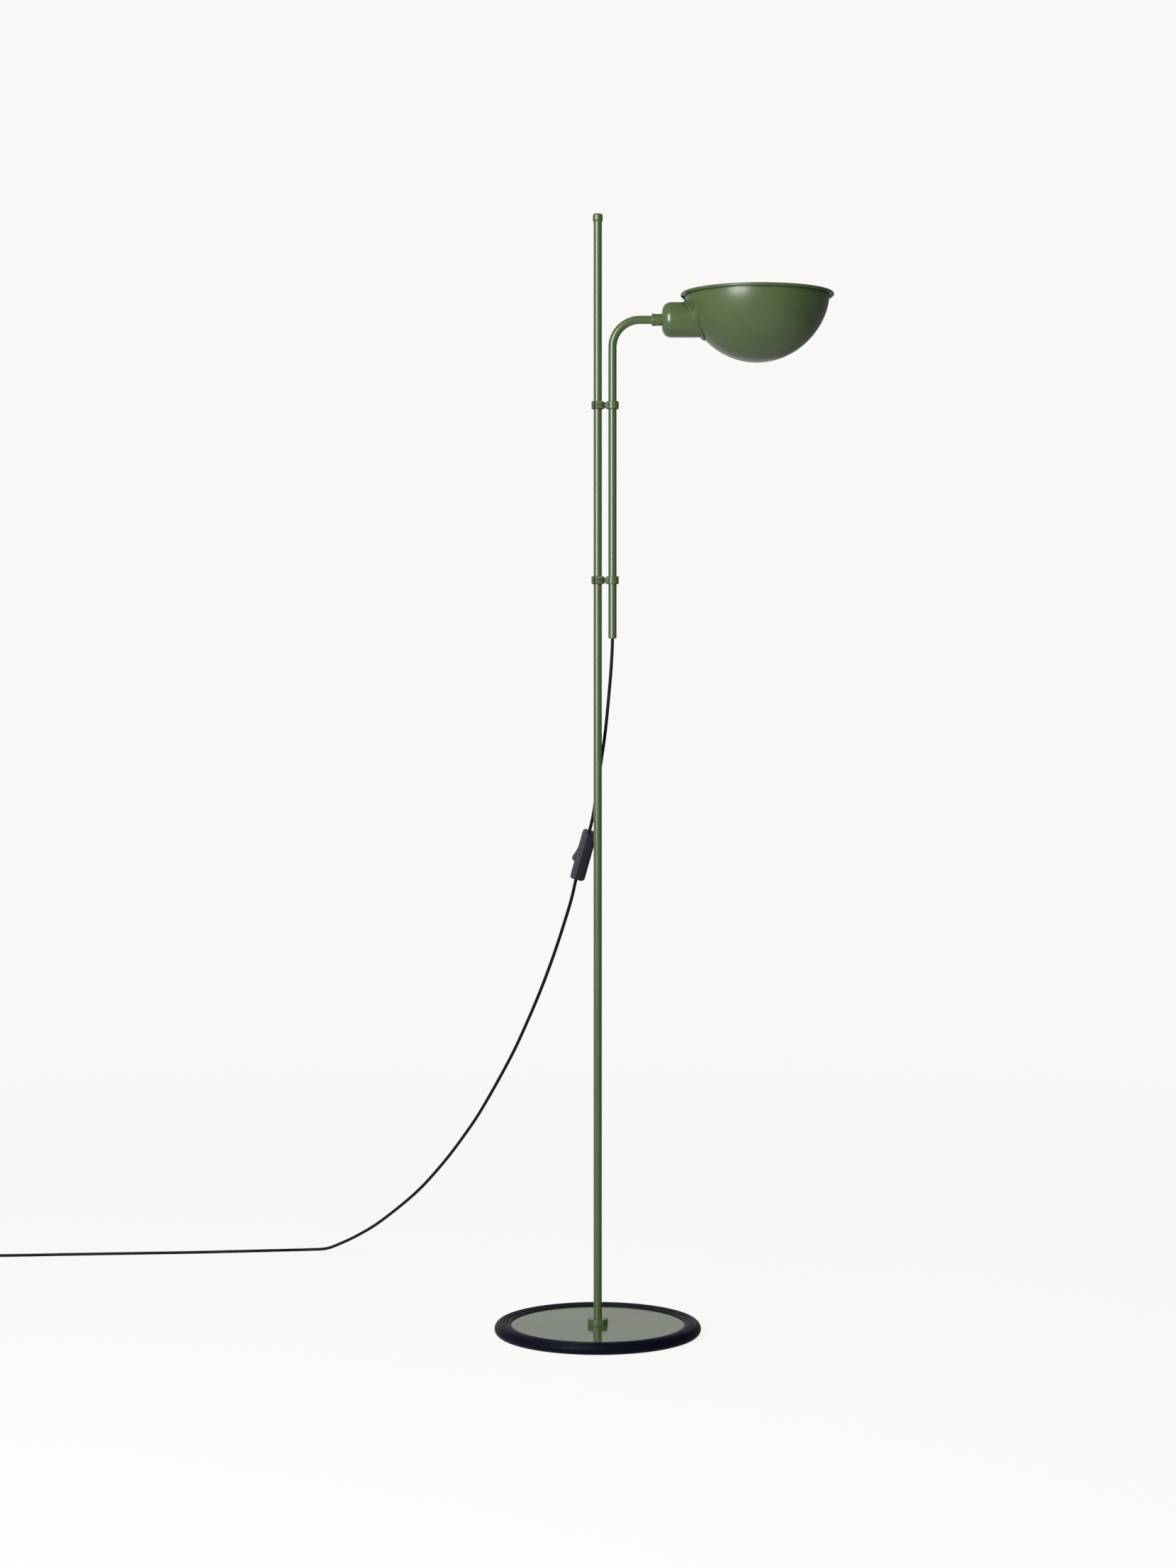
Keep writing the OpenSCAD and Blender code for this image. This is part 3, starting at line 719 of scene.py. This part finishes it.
def make_clips(looks):
    screws = []
    for name, node in (("clip_casting_upper", "upper_clip"), ("clip_casting_lower", "lower_clip")):
        z = middle(node)[2]
        block = clip_block(z, half_span(node, 2))
        block.name = name
        low, high = z - 8 * MM, z + 8 * MM
        bores = [rod(CLIP_BORE_R, (x, 0, low - MM), (x, 0, high + MM), 96) for x in (0, ARM_X)]
        slit = slab(-4.6 * MM, -3.0 * MM, low, high, -12 * MM, 0)
        hole = rod(1.6 * MM, (CLIP_SCREW_X, -12 * MM, z), (CLIP_SCREW_X, -4 * MM, z))
        step = slab(13.5 * MM, 15.0 * MM, low, high, -10.1 * MM, -6.1 * MM)
        cut(block, *bores, slit, hole, step, sharp=40)
        stand_in(block, "arm", "green_paint", looks["paint"], node)

        head = lathe("head", rounded([
            (0, -10.98 * MM, 0), (3.0 * MM, -10.95 * MM, 0.6 * MM), (3.0 * MM, -9.32 * MM, 0.2 * MM),
            (1.55 * MM, -9.3 * MM, 0.1 * MM), (1.55 * MM, -5.8 * MM, 0.3 * MM), (0, -5.77 * MM, 0)], 4),
            sides=64)
        turn = Matrix.Translation((CLIP_SCREW_X, 0, z)) @ Matrix.Rotation(math.radians(-90), 4, "X")
        head.data.transform(turn)
        cut(head, slab(-3 * MM, 6 * MM, z - 0.75 * MM, z + 0.75 * MM, -11.25 * MM, -9.95 * MM))
        wear(head, looks["paint"], looks["black_rubber"])
        # The slot's faces take the black rubber material as painted shade in the recess
        for face in head.data.polygons:
            c = face.center
            in_slot = abs(c.z - z) < 0.7 * MM and abs(c.x - CLIP_SCREW_X) < 2.8 * MM
            if in_slot and -10.85 * MM < c.y < -9.6 * MM:
                face.material_index = 1
        screws.append(head)
    piece = joined("clip_slotted_screws", *screws)
    smooth_by(piece.data)
    stand_in(piece, "arm", "green_paint", None, "clip_screws")


# ---- arm ----


def arm_line(low, end):
    """The arm tube's centreline, from the height low to the place end on the level run."""
    bend = [(x, 0, z) for x, z in arc((ARM_X + BEND_R, RUN_Z - BEND_R), BEND_R, 180, 90, 32)]
    return [Vector(p) for p in [(ARM_X, 0, low)] + bend + [(end, 0, RUN_Z)]]


def make_arm(looks):
    tube = pipe("arm_painted_tube", arm_line(ARM_LOW, RUN_END), TUBE_R, BORE_R, sides=64)
    stand_in(tube, "arm", "green_paint", looks["tube"], "arm_tube")
    start, end = span("arm_collar", 0)
    at = (0, 0, RUN_Z)
    rim, body = 7.55 * MM, 7.2 * MM
    groove = start + 4 * MM
    collar = lathe("arm_ring_collar", rounded([
        (TUBE_FIT, start, 0), (rim, start, 1.1 * MM), (rim, groove - 0.4 * MM, 0.5 * MM),
        (body - 0.35 * MM, groove, 0.15 * MM), (body, groove + 0.4 * MM, 0.2 * MM),
        (body, end, 0.5 * MM), (4.82 * MM, end, 0), (4.82 * MM, RUN_END + 0.05 * MM, 0),
        (TUBE_FIT, RUN_END + 0.05 * MM, 0)], 5), along="X", at=at, sides=96)
    stand_in(collar, "arm", "green_paint", looks["tube"], "arm_collar")


# ---- shade ----


BOWL_STEPS = 56
TINY = 0.01 * MM  # the step over which a slope is measured


def bowl_at(depth):
    """Radius of the bowl's outside at a depth below the rim's plane."""
    return BOWL_R * math.sqrt(max(0.0, 1 - (depth / BOWL_DEPTH) ** 1.8))


def bowl_line(grow):
    """The bowl's outline grown outwards by an amount, from the rim's plane down to the middle."""
    points = []
    for i in range(BOWL_STEPS + 1):
        depth = BOWL_DEPTH * math.sin(math.pi / 2 * i / BOWL_STEPS)
        r = bowl_at(depth)
        change = bowl_at(min(BOWL_DEPTH, depth + TINY)) - bowl_at(max(0, depth - TINY))
        normal = Vector((2 * TINY, change)).normalized()
        if i == 0:
            normal = Vector((1, 0))
        if i == BOWL_STEPS:
            normal = Vector((0, -1))
        points.append((max(0.0, r + grow * normal[0]), RIM_Z - depth + grow * normal[1]))
    points[-1] = (0.0, points[-1][1])
    return points


def bowl_block(grow, top):
    return lathe("bowl_block", [(0, top), (BOWL_R + grow, top)] + bowl_line(grow), at=(BOWL_X, 0, 0),
                 sides=192)


def make_bowl(looks):
    rim = RIM_R
    edge = 1.9 * MM
    lip = arc((rim - edge, RIM_Z + 0.25 * MM), edge, 100, -60, 14)
    curl = arc((rim - edge, RIM_Z + 0.25 * MM), edge - 0.9 * MM, -60, 60, 8)
    outline = bowl_line(-BOWL_WALL)[::-1] + [
        (BOWL_R - BOWL_WALL + 0.1 * MM, RIM_Z + 0.9 * MM), (BOWL_R + 0.2 * MM, RIM_Z + 1.8 * MM),
        (BOWL_R + 1.6 * MM, RIM_Z + 2.15 * MM)] + lip + curl + [
        (rim - 2.9 * MM, RIM_Z + 0.95 * MM), (BOWL_R + 1.6 * MM, RIM_Z + 0.75 * MM),
        (BOWL_R + 0.6 * MM, RIM_Z + 0.1 * MM)] + bowl_line(0)
    bowl = lathe("bowl_spun_shade", outline, at=(BOWL_X, 0, 0), sides=192, sharp=60)
    hole = rod(HOUSING_R - HOUSING_WALL, (BOWL_X - 105 * MM, 0, RUN_Z), (BOWL_X - 40 * MM, 0, RUN_Z), 96)
    cut(bowl, hole, sharp=60)
    wear(bowl, looks["paint"], looks["enamel"])
    for face in bowl.data.polygons:
        c, n = face.center, face.normal
        away = Vector((c.x - BOWL_X, c.y, 0))
        inside = n.dot(away) < -1e-4 * away.length or (n.z > 0.5 and away.length < 0.5 * BOWL_R)
        if inside and c.z < RIM_Z + 0.5 * MM and away.length < BOWL_R - 0.4 * MM:
            face.material_index = 1
    stand_in(bowl, "shade", "green_paint", None, "shade_bowl")


def make_housing(looks):
    """The cylinder with a domed, holed back, cut to the bowl that it meets."""
    back, hole, wall = HOUSING_BACK, 10.2 * MM, HOUSING_WALL
    bend = HOUSING_R - hole
    far = 150 * MM
    turns = [math.pi / 2 * i / 18 for i in range(19)]
    outer = [(hole + bend * math.sin(a), back + bend * 0.97 * (1 - math.cos(a))) for a in turns]
    bend -= wall
    inner = [(hole + bend * math.sin(a), back + wall + bend * (1 - math.cos(a))) for a in turns]
    lip = [(hole - 0.25 * MM, back + 0.35 * MM), (hole - 0.3 * MM, back + wall)]
    housing = lathe("housing_shell", lip[::-1] + outer + [(HOUSING_R, far), (HOUSING_R - wall, far)]
                    + inner[::-1], along="X", at=(0, 0, RUN_Z), sides=128, sharp=50)
    cut(housing, bowl_block(0.03 * MM, RIM_Z + 30 * MM), sharp=50)
    stand_in(housing, "shade", "green_paint", looks["tube"], "socket_housing")


def make_flange(looks):
    """The raised bead along the seam: a rounded section swept round the housing on the bowl."""
    half_width = 1.7 * MM
    height = 2.4 * MM
    r = HOUSING_R + 1.5 * MM
    section = rounded([
        (-half_width, -0.4 * MM, 0), (half_width, -0.4 * MM, 0),
        (half_width * 0.95, height * 0.8, 0.7 * MM), (-half_width * 0.9, height, 0.8 * MM)], 5)
    rows = []
    stations = 160
    for i in range(stations):
        a = 2 * math.pi * i / stations
        out = Vector((0, math.sin(a), math.cos(a)))
        y, z = r * out.y, RUN_Z + r * out.z
        depth = RIM_Z - z
        b = bowl_at(depth)
        x = BOWL_X - math.sqrt(b * b - y * y)
        slope = (bowl_at(depth + TINY) - bowl_at(depth - TINY)) / (2 * TINY)
        normal = Vector(((x - BOWL_X) / b, y / b, slope)).normalized()
        across = (out - normal * out.dot(normal)).normalized()
        rows.append([Vector((x, y, z)) + across * u + normal * v for u, v in section])
    flange = skinned("seam_bead", rows, 50, round_trip=True)
    stand_in(flange, "shade", "green_paint", looks["paint"], "seam_flange")


def make_bulb(looks):
    """The bulb's opal globe and threaded cap, and the lampholder around it."""
    at = (0, 0, RUN_Z)
    start, end = span("bulb_cap", 0)
    crest = []
    turns, steps = 6, 8
    for i in range(turns * steps + 1):
        t = i / (turns * steps)
        crest.append((6.55 * MM + 0.35 * MM * math.cos(2 * math.pi * i / steps),
                      start + (5 + 18 * t) * MM))
    cap = lathe("bulb_screw_cap", [(0, start), (2.4 * MM, start), (2.6 * MM, start + 0.5 * MM),
                                   (2.6 * MM, start + MM), (6.0 * MM, start + 3 * MM)]
                + crest + [(6.9 * MM, end - 0.4 * MM), (6.7 * MM, end), (0, end)],
                along="X", at=at, sides=96)
    stand_in(cap, "shade", "cap_metal", looks["nickel"], "bulb_cap")

    low, high = span("bulb_globe", 0)
    r = half_span("bulb_globe", 1)
    centre, neck, wall = high - r, 6.8 * MM, 0.9 * MM
    turns = [math.radians(152) * i / 40 for i in range(41)]
    sphere = [(r * math.sin(a), centre + r * math.cos(a)) for a in turns[::-1]]
    inner = [((r - wall) * math.sin(a), centre + (r - wall) * math.cos(a)) for a in turns]
    inner[0] = (0.0, inner[0][1])
    sphere[-1] = (0.0, high)
    globe = lathe("bulb_opal_globe", [(neck, low)] + sphere + inner + [(neck - wall, low)], along="X",
                  at=at, sides=96, sharp=60)
    stand_in(globe, "shade", "bulb_glass", looks["glass"], "bulb_globe")

    x0, x1 = span("holder_shell", 0)
    r, bore = 14 * MM, 12.4 * MM
    ribs = []
    for i in range(9):
        x = x0 + 2.5 * MM + i * 1.8 * MM
        ribs += [(r, x), (r - 0.5 * MM, x + 0.4 * MM), (r - 0.5 * MM, x + 0.9 * MM), (r, x + 1.3 * MM)]
    shell = lathe("holder_ribbed_shell", [(bore, x0), (r, x0)] + ribs
                  + [(r, x1 - 0.6 * MM), (r - 0.6 * MM, x1), (bore + 0.5 * MM, x1), (bore, x1 - 0.6 * MM)],
                  along="X", at=at, sides=96)
    stand_in(shell, "shade", "white_plastic", looks["white_plastic"], "holder_shell")


# ---- switch ----


ROCKER_TOP = 12 * MM
ROCKER_REACH = 18 * MM  # from its top down to its tip


def switch_outline(x0, x1, r0, r1, less=0.0):
    """The case's side outline between two depths, smaller all round by an amount."""
    half = SWITCH_HALF - less
    return rounded([(x0, half, r0), (x1, half, r1), (x1, -half, r1), (x0, -half, r0)], 8)


def switch_half(name, seam, face, corner, steps=7):
    """Half of the switch's case: round at its corners and long edges, and flat at the seam."""
    rows = []
    turns = [math.pi / 2 * i / steps for i in range(steps + 1)]
    for side, angles in ((-1, turns[::-1]), (1, turns)):
        for turn in angles:
            less = SWITCH_EDGE * (1 - math.cos(turn))
            y = side * (SWITCH_WIDE / 2 - SWITCH_EDGE * (1 - math.sin(turn)))
            x = face + less if face < seam else face - less
            r = corner - 0.7 * less
            rows.append([(u, y, z) for u, z in switch_outline(x, seam, r, 0.06 * MM, less)])
    return skinned(name, rows, 40)


def rocker_front(t):
    """The rocker's hollow front: depth and height, from its top (0) to its tip (1)."""
    return -8.7 * MM - 4.2 * MM * t**1.7, ROCKER_TOP - ROCKER_REACH * t


def make_switch(looks):
    half_t, seam, wall = 9 * MM, -2.1 * MM, 1.8 * MM
    inner_wide = SWITCH_WIDE - 2 * wall
    cord_hole = CORD_D / 2 + 0.12 * MM
    cord_ends = (-1 * MM, 0, -36 * MM), (-1 * MM, 0, 36 * MM)

    # The front shell and the rocker wear the lighter plastic as painted light, and the back shell wears
    # the darker one as painted shade
    front = switch_half("switch_front_shell", seam - 0.02 * MM, -half_t, 5.5 * MM)
    outline = switch_outline(-half_t + wall, seam + 3 * MM, 3.6 * MM, 0, wall)
    pocket = prism("pocket", outline, inner_wide)
    window = slab(-half_t - 2 * MM, -3 * MM, -11.5 * MM, 13.5 * MM, -6.1 * MM, 6.1 * MM)
    cut(front, pocket, window, rod(cord_hole, *cord_ends))
    stand_in(into_switch(front), "slider", "switch_plastic", looks["switch_front"], "switch_front")

    back = switch_half("switch_back_shell", seam + 0.02 * MM, half_t, 4.5 * MM)
    outline = switch_outline(seam - 3 * MM, half_t - wall, 0, 1 * MM, wall)
    pocket = prism("pocket", outline, inner_wide)
    cut(pocket, *[rod(4.4 * MM, (-4 * MM, 0, z), (12 * MM, 0, z)) for z in SWITCH_SCREWS])
    wells = [rod(3 * MM, (6.6 * MM, 0, z), (12 * MM, 0, z)) for z in SWITCH_SCREWS]
    bores = [rod(1.6 * MM, (-4 * MM, 0, z), (12 * MM, 0, z)) for z in SWITCH_SCREWS]
    cut(back, pocket, *wells, *bores, rod(cord_hole, *cord_ends))
    stand_in(into_switch(back), "slider", "switch_plastic", looks["switch_back"], "switch_back")

    outline = [rocker_front(i / 12) for i in range(13)] + rounded([
        (-12.6 * MM, -6.9 * MM, 0.2 * MM), (-9.4 * MM, -9.6 * MM, 0.4 * MM),
        (-7.6 * MM, -10.2 * MM, 0.4 * MM), (-4.4 * MM, -7 * MM, 0.4 * MM), (-4.4 * MM, 9 * MM, 0.4 * MM),
        (-7.4 * MM, ROCKER_TOP, 0.4 * MM)], 3)[3:]
    rocker = prism("rocker", outline, 11.6 * MM)
    bevel(rocker, 0.5 * MM, 3)
    ribs = []
    for t in (0.62, 0.70, 0.78, 0.86):
        x, z = rocker_front(t)
        ribs.append(rod(0.35 * MM, (x - 0.1 * MM, -6 * MM, z), (x - 0.1 * MM, 6 * MM, z), 12))
    cut(rocker, *ribs)
    pin = rod(1.4 * MM, (-6 * MM, -8.2 * MM, 1 * MM), (-6 * MM, 8.2 * MM, 1 * MM))
    whole = joined("switch_thumb_rocker", rocker, pin)
    smooth_by(whole.data)
    stand_in(into_switch(whole), "rocker", "switch_plastic", looks["switch_front"], "switch_rocker")


# ---- plug ----


def make_plug(looks):
    low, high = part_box("plug_body")
    w, h = half_span("plug_body", 0), half_span("plug_body", 2)
    x, z = middle("plug_body")[0], middle("plug_body")[2]
    outline = rounded([(-w, -h, 5 * MM), (w, -h, 5 * MM), (w, h, 5 * MM), (-w, h, 5 * MM)], 6)
    body = prism("plug_moulded_body", outline, high[1] - low[1])
    body.data.transform(Matrix.Translation((x, (low[1] + high[1]) / 2, z)))
    bevel(body, 1.6 * MM, 4)
    grips = []
    for i in range(5):
        y = low[1] + (8 + 3.2 * i) * MM
        for edge in (x - w, x + w):
            grips.append(rod(0.7 * MM, (edge, y, z - 5 * MM), (edge, y, z + 5 * MM), 16))
    cut(body, *grips)
    stand_in(body, "stand", "black_plastic", looks["plastic"], "plug_body")

    start, end = span("plug_tail", 1)
    reach = end - start
    outline = [(0, end)]
    count = 7
    for i in range(count):
        t0, t1 = i / count, (i + 0.62) / count
        for t, dent in ((t0, 0), (t1, 0), (t1 + 0.02, 0.9 * MM), ((i + 0.98) / count, 0.9 * MM)):
            r = (3.4 + 2.1 * t) * MM
            outline.append((r - dent, end - reach * t))
    outline += [(5.5 * MM, start), (0, start)]
    tail = lathe("plug_strain_relief", outline, sides=48)
    at = middle("plug_tail")
    turn = Matrix.Rotation(math.radians(-90), 4, "X")
    tail.data.transform(Matrix.Translation((at[0], 0, at[2])) @ turn)
    stand_in(tail, "stand", "black_rubber", looks["black_rubber"], "plug_tail")


# ---- what keeps its CAD shape ----

CAD_LOOKS = {
    "base_pad": "black_rubber", "foot_screw": "steel", "pole_bolt": "steel", "pole_washer": "steel",
    "pole_insert": "brass", "pole_sleeves": "plastic", "arm_sleeves": "plastic",
    "tube_bush": "paint", "inner_cable": "cord", "swivel_stem": "brass",
    "swivel_washer": "white_plastic", "swivel_nut": "brass", "housing_hub": "steel",
    "holder_screws": "steel", "holder_base": "white_plastic", "holder_thread": "brass",
    "holder_contact": "brass", "lead_wires": "lead", "switch_screws": "steel",
    "switch_contacts": "brass", "coil_tie": "plastic", "plug_pins": "nickel",
}


# ---- studio ----


WORLD_LEFT = 0.36
WORLD_RIGHT = 0.13
WORLD_BACK = 0.70
WORLD_BELOW = 0.40


def make_floor():
    """A pale round floor, mostly clear, that fades into the background before its edge."""
    bm = bmesh.new()
    bmesh.ops.create_circle(bm, cap_ends=True, segments=128, radius=6)
    mesh = bpy.data.meshes.new("floor")
    bm.to_mesh(mesh)
    bm.free()
    floor = new_object("floor", mesh)
    floor.location.z = -0.0002
    made = Nodes("studio_floor")
    made.set(Base_Color=(0.93, 0.925, 0.915, 1), Roughness=0.9, Specular_IOR_Level=0.1)
    made.set(Emission_Color=(0.95, 0.94, 0.925, 1), Emission_Strength=0.35)
    away = made.add("ShaderNodeVectorMath", operation="LENGTH")
    made.link(made.place, away.inputs[0])
    fade = made.add("ShaderNodeMapRange")
    fade.inputs["From Min"].default_value = 1.0
    fade.inputs["From Max"].default_value = 3.2
    fade.inputs["To Min"].default_value = 0.88
    made.link(away.outputs["Value"], fade.inputs["Value"])
    clear = made.add("ShaderNodeBsdfTransparent")
    mix = made.add("ShaderNodeMixShader")
    made.link(fade.outputs["Result"], mix.inputs[0])
    made.link(made.shader.outputs[0], mix.inputs[1])
    made.link(clear.outputs[0], mix.inputs[2])
    out = made.tree.nodes["Material Output"]
    made.link(mix.outputs[0], out.inputs["Surface"])
    floor.data.materials.append(made.material)


def make_world():
    """A pale background. What the lamp reflects is bright behind it and below, and dark on its right."""
    world = bpy.data.worlds.new("studio")
    world.use_nodes = True
    tree = world.node_tree
    tree.nodes.clear()
    link = tree.links.new
    parts = tree.nodes.new("ShaderNodeSeparateXYZ")
    link(tree.nodes.new("ShaderNodeTexCoord").outputs["Generated"], parts.inputs[0])

    def fade(axis, start, end, low=0.0, high=1.0):
        node = tree.nodes.new("ShaderNodeMapRange")
        node.interpolation_type = "SMOOTHSTEP"
        for key, value in (("From Min", start), ("From Max", end), ("To Min", low), ("To Max", high)):
            node.inputs[key].default_value = value
        link(parts.outputs[axis], node.inputs["Value"])
        return node.outputs["Result"]

    def combine(operation, a, b):
        node = tree.nodes.new("ShaderNodeMath")
        node.operation = operation
        link(a, node.inputs[0])
        link(b, node.inputs[1])
        return node.outputs[0]

    sides = fade("X", -0.6, 0.7, WORLD_LEFT, WORLD_RIGHT)
    back = combine("MULTIPLY", fade("Y", 0.75, 0.93), fade("Z", 0.55, 0.3))
    back = combine("MULTIPLY", back, fade("X", 0.30, 0.08, 0.0, WORLD_BACK))
    floor = fade("Z", -0.35, -0.85, 0.0, WORLD_BELOW)
    level = combine("MAXIMUM", combine("MAXIMUM", sides, back), floor)
    lit = tree.nodes.new("ShaderNodeBackground")
    link(level, lit.inputs["Strength"])
    lit.inputs["Color"].default_value = (1.0, 0.995, 0.985, 1)
    seen = tree.nodes.new("ShaderNodeBackground")
    seen.inputs["Color"].default_value = (0.947, 0.939, 0.922, 1)
    rays = tree.nodes.new("ShaderNodeLightPath")
    mix = tree.nodes.new("ShaderNodeMixShader")
    link(rays.outputs["Is Camera Ray"], mix.inputs[0])
    link(lit.outputs[0], mix.inputs[1])
    link(seen.outputs[0], mix.inputs[2])
    out = tree.nodes.new("ShaderNodeOutputWorld")
    link(mix.outputs[0], out.inputs["Surface"])
    bpy.context.scene.world = world


def add_light(name, place, target, size, power, shines=True):
    """A rectangular soft light; one that doesn't shine shows in no reflection."""
    data = bpy.data.lights.new(name, "AREA")
    data.shape = "RECTANGLE"
    data.size, data.size_y = size
    data.energy = power
    light = bpy.data.objects.new(name, data)
    light.location = place
    way = Vector(target) - Vector(place)
    light.rotation_euler = way.to_track_quat("-Z", "Y").to_euler()
    light.visible_glossy = shines
    bpy.context.scene.collection.objects.link(light)


def make_lights():
    add_light("key_left", (-1.4, -2.5, 1.6), (0.05, 0, 1.2), (1.4, 2.0), 108)
    add_light("fill_front", (0.6, -3.0, 1.2), (0.1, 0, 0.8), (2.2, 2.2), 8, False)
    add_light("fill_back", (0.6, 2.8, 2.4), (0.1, 0, 0.8), (2.2, 2.2), 9, False)


make_camera()
looks = make_materials()
make_switch(looks)
make_plug(looks)
make_cords(looks)
make_base(looks)
make_foot(looks)
make_pole(looks)
make_clips(looks)
make_arm(looks)
make_bowl(looks)
make_housing(looks)
make_flange(looks)
make_bulb(looks)
for cad_node, look in CAD_LOOKS.items():
    dress_node(cad_node, looks[look])
make_floor()
make_world()
make_lights()
bpy.context.scene.view_settings.view_transform = "Standard"
